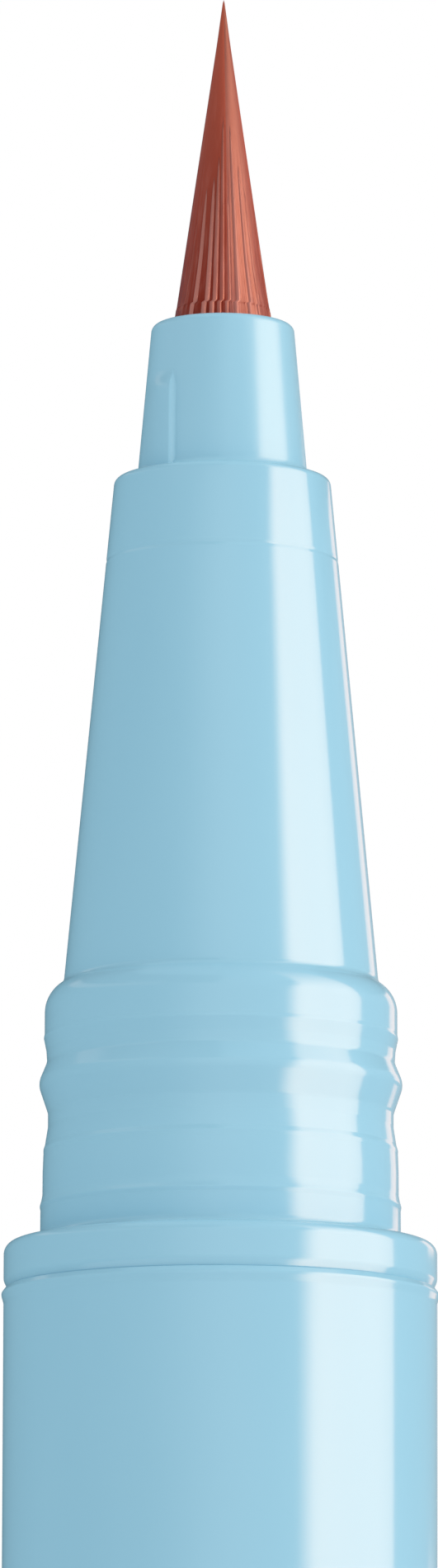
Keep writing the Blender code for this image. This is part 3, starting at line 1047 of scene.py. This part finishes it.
def coil(material):
    """The spring behind the inner cap, one wire round the cap's axis."""
    foot = spring_low.z + spring_wire_radius
    rise = spring_high.z - spring_wire_radius - foot
    count = spring_turns * spring_points_per_turn
    slope = math.atan2(rise / spring_turns, math.tau * spring_radius)
    vertices = []
    faces = []
    for index in range(count + 1):
        angle = math.tau * index / spring_points_per_turn
        out = Vector((math.cos(angle), math.sin(angle), 0))
        along = Vector((-out.y, out.x, 0)) * math.cos(slope) + Vector((0, 0, math.sin(slope)))
        up = along.cross(-out)
        centre = Vector((cap_axis, 0, foot + rise * index / count)) + out * spring_radius
        for corner in range(spring_sides):
            turn = math.tau * corner / spring_sides
            reach = out * math.cos(turn) + up * math.sin(turn)
            vertices.append(tuple(centre + spring_wire_radius * reach))
    for index in range(count):
        below = index * spring_sides
        above = below + spring_sides
        for corner in range(spring_sides):
            after = (corner + 1) % spring_sides
            faces.append((below + corner, above + corner, above + after, below + after))
    faces.append(list(range(spring_sides)))
    faces.append([count * spring_sides + corner for corner in reversed(range(spring_sides))])
    piece = new_piece("coil", vertices, faces, material, "cap", "cap_spring")
    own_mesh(piece)


def blended_output(tree, kind, factor, first, last):
    """The output node, with a blend of two shaders."""
    blend = tree.nodes.new("ShaderNodeMixShader")
    tree.links.new(factor, blend.inputs["Fac"])
    tree.links.new(first, blend.inputs[1])
    tree.links.new(last, blend.inputs[2])
    output = tree.nodes.new(kind)
    tree.links.new(blend.outputs["Shader"], output.inputs["Surface"])


def card_mesh(name, azimuths, elevations, distance, left_edge):
    """A sheet curved round the pen, whose UV map gives the shares across and up it."""
    vertices = []
    faces = []
    places = []
    for row in range(card_rows + 1):
        degrees = elevations[0] + (elevations[1] - elevations[0]) * row / card_rows
        elevation = math.radians(degrees)
        left = azimuths[0]
        for (low, first), (high, last) in zip(left_edge, left_edge[1:]):
            if low <= degrees <= high:
                left = first + (last - first) * (degrees - low) / (high - low)
        for column in range(card_columns + 1):
            places.append((column / card_columns, row / card_rows))
            azimuth = math.radians(left + (azimuths[1] - left) * column / card_columns)
            flat = distance * math.cos(elevation)
            rise = studio_height + distance * math.sin(elevation)
            vertices.append((flat * math.sin(azimuth), -flat * math.cos(azimuth), rise))
    step = card_columns + 1
    for row in range(card_rows):
        for column in range(card_columns):
            corner = row * step + column
            faces.append((corner, corner + 1, corner + step + 1, corner + step))
    mesh = bpy.data.meshes.new(name)
    mesh.from_pydata(vertices, [], faces)
    layer = mesh.uv_layers.new(name="card")
    for loop in mesh.loops:
        layer.data[loop.index].uv = places[loop.vertex_index]
    return mesh


def card_mask(tree, across, up, soft):
    """1 over the card, which falls to 0 at each soft edge."""
    left, right, low, high = soft
    mask = None
    for value, outer, inner in ((across, 0, left), (across, 1, 1 - right), (up, 0, low), (up, 1, 1 - high)):
        if outer == inner:
            continue
        ends = (0, 1) if outer < inner else (1, 0)
        edge = ramp(tree, value, min(outer, inner), max(outer, inner), *ends, "SMOOTHSTEP")
        mask = edge if mask is None else maths(tree, "MULTIPLY", mask, edge)
    return mask


def card_material(name, colour, levels, soft):
    material = bpy.data.materials.new(name)
    material.use_nodes = True
    tree = material.node_tree
    tree.nodes.clear()
    split = tree.nodes.new("ShaderNodeSeparateXYZ")
    tree.links.new(tree.nodes.new("ShaderNodeUVMap").outputs["UV"], split.inputs["Vector"])
    across = split.outputs["X"]
    strength = ramp(tree, across, 0, 1, levels[0], levels[1])
    if len(levels) > 2:
        lost = ramp(tree, across, card_last_part, 1, 0, levels[2])
        strength = maths(tree, "SUBTRACT", strength, lost)
    glow = tree.nodes.new("ShaderNodeEmission")
    glow.inputs["Color"].default_value = (*colour, 1)
    tree.links.new(strength, glow.inputs["Strength"])
    clear = tree.nodes.new("ShaderNodeBsdfTransparent").outputs["BSDF"]
    mask = card_mask(tree, across, split.outputs["Y"], soft)
    blended_output(tree, "ShaderNodeOutputMaterial", mask, clear, glow.outputs["Emission"])
    return material


def card(name, azimuths, elevations, colour, levels, soft, distance=card_distance, left_edge=()):
    """A curved studio card round the pen, seen only in its gloss.

    Its angles are in degrees, from the point on the pen's axis at studio_height. Azimuth 0 is towards
    the camera, and 90 is to the right. Its light goes from the first level at its left to the second
    at its right, and by then loses the third, if there is one, over its last part. Soft is the share
    of the card over which it fades at each edge, as left, right, low and high. The left edge can
    follow a line of (elevation, azimuth) points.
    """
    mesh = card_mesh(name, azimuths, elevations, distance, left_edge)
    mesh.materials.append(card_material(name, colour, levels, soft))
    panel = new_object(name, mesh)
    panel.visible_camera = False
    panel.visible_diffuse = False
    panel.visible_transmission = False
    panel.visible_shadow = False


def studio_cards():
    """What the gloss shows: grey cards all round, the softbox, strips of light, and dark flags."""
    card(
        "grey_card_left",
        (-180, 10),
        (-60, 60),
        (0.50, 0.92, 1.15),
        (0.20, 0.26),
        (0, 0.3, 0, 0.2),
        card_left_distance,
    )
    card(
        "grey_card_right",
        (-20, 180),
        (-60, 60),
        (0.85, 0.97, 1.05),
        (0.45, 0.42),
        (0.3, 0, 0, 0.2),
        card_right_distance,
    )
    card(
        "grey_card_top",
        (-180, 180),
        (35, 90),
        (0.75, 0.97, 1.08),
        (0.6, 0.6),
        (0, 0, 0.3, 0),
        card_top_distance,
    )
    card(
        "softbox_right",
        (39, 103.5),
        (-46, 75),
        (1.085, 0.71, 0.48),
        (8.9, 5.2, 1.2),
        (0.22, 0.01, 0.05, 0.47),
        left_edge=softbox_left_edge,
    )
    card(
        "line_strip_left",
        (-150, -30),
        (28, 37),
        (1.0, 0.9, 0.85),
        (0.65, 0.6),
        (0.1, 0.2, 0.25, 0.25),
        line_distance,
    )
    card(
        "dark_flag_left",
        (-160, 4),
        (28.5, 64),
        (1.0, 0.6, 0.4),
        (0.05, 0.05),
        (0.1, 0.05, 0.12, 0.2),
        flag_distance,
    )
    card(
        "dark_flag_right",
        (108, 172),
        (19, 60),
        (1.0, 0.85, 0.75),
        (0.12, 0.12),
        (0.2, 0.05, 0.06, 0.2),
        flag_distance,
    )
    card(
        "rim_strip",
        rim_azimuths,
        (5.5, 20),
        rim_colour,
        (0.97, 0.97),
        (0.05, 0.1, 0.05, 0.05),
        rim_distance,
    )
    card(
        "rim_strip_low",
        rim_azimuths,
        (-8, 0.3),
        rim_colour,
        (0.93, 0.93),
        (0.05, 0.1, 0.35, 0.1),
        rim_distance,
    )


def key_lamp():
    """A broad soft lamp from the right, which no gloss shows."""
    sun = bpy.data.lights.new("key_lamp", "SUN")
    sun.energy = lamp_strength
    sun.angle = lamp_spread
    sun.color = lamp_colour
    lamp = new_object("key_lamp", sun)
    flat = math.cos(lamp_elevation)
    aim = Vector((math.sin(lamp_azimuth) * flat, -math.cos(lamp_azimuth) * flat, math.sin(lamp_elevation)))
    lamp.rotation_euler = aim.to_track_quat("Z", "Y").to_euler()
    lamp.visible_glossy = False


def background(tree, colour, strength):
    light = tree.nodes.new("ShaderNodeBackground")
    light.inputs["Color"].default_value = (*colour, 1)
    light.inputs["Strength"].default_value = strength
    return light.outputs["Background"]


def world():
    """White to the eye, and in gloss and glass, and a softer fill for everything else."""
    made = bpy.data.worlds.new("studio")
    bpy.context.scene.world = made
    made.use_nodes = True
    tree = made.node_tree
    tree.nodes.clear()
    path = tree.nodes.new("ShaderNodeLightPath")
    seen = path.outputs["Is Camera Ray"]
    for name in ("Is Glossy Ray", "Is Transmission Ray"):
        seen = maths(tree, "MAXIMUM", seen, path.outputs[name])
    fill = background(tree, fill_colour, fill_strength)
    blended_output(tree, "ShaderNodeOutputWorld", seen, fill, background(tree, white, 1))


def floor():
    """A pale floor under both pieces."""
    angles = [math.tau * index / floor_sides for index in range(floor_sides)]
    vertices = [(floor_radius * math.cos(angle), floor_radius * math.sin(angle), 0) for angle in angles]
    mesh = bpy.data.meshes.new("floor")
    mesh.from_pydata(vertices, [], [list(range(floor_sides))])
    ground = new_object("floor", mesh)
    material, _, shader = new_material("pale_floor")
    shader.inputs["Base Color"].default_value = (*floor_colour, 1)
    shader.inputs["Roughness"].default_value = floor_roughness
    shader.inputs["Specular IOR Level"].default_value = 0
    mesh.materials.append(material)


def camera():
    """The photograph's view: from below the flange, looking up at the pen's front end."""
    data = bpy.data.cameras.new("camera")
    data.lens = camera_lens
    data.sensor_width = camera_sensor
    data.clip_start = camera_near
    eye = new_object("camera", data)
    eye.location = camera_place
    eye.rotation_euler = (math.radians(90 + camera_tilt), math.radians(camera_roll), 0)
    bpy.context.scene.camera = eye


blue = blue_plastic()
natural = natural_plastic()
bright = steel()
barrel(blue)
front_moulding(blue)
cap_tube(blue)
end_plug("tail_stopper", barrel_bore, blue, "pen", "tail_plug")
end_plug("cap_stopper", cap_rear_bore, blue, "cap", "cap_end_plug", axis_x=cap_axis)
inner_cup(natural)
brush_fibres(brush_fibre())
wick_rod(wick_fibre())
holder_ring(natural)
seal_washer(rubber())
steel_ball(bright)
coil(bright)
collector_materials = frame["nodes"]["collector"].data.materials
collector_materials.clear()
collector_materials.append(natural)
floor()
studio_cards()
key_lamp()
world()
camera()
bpy.context.scene.view_settings.view_transform = "Standard"
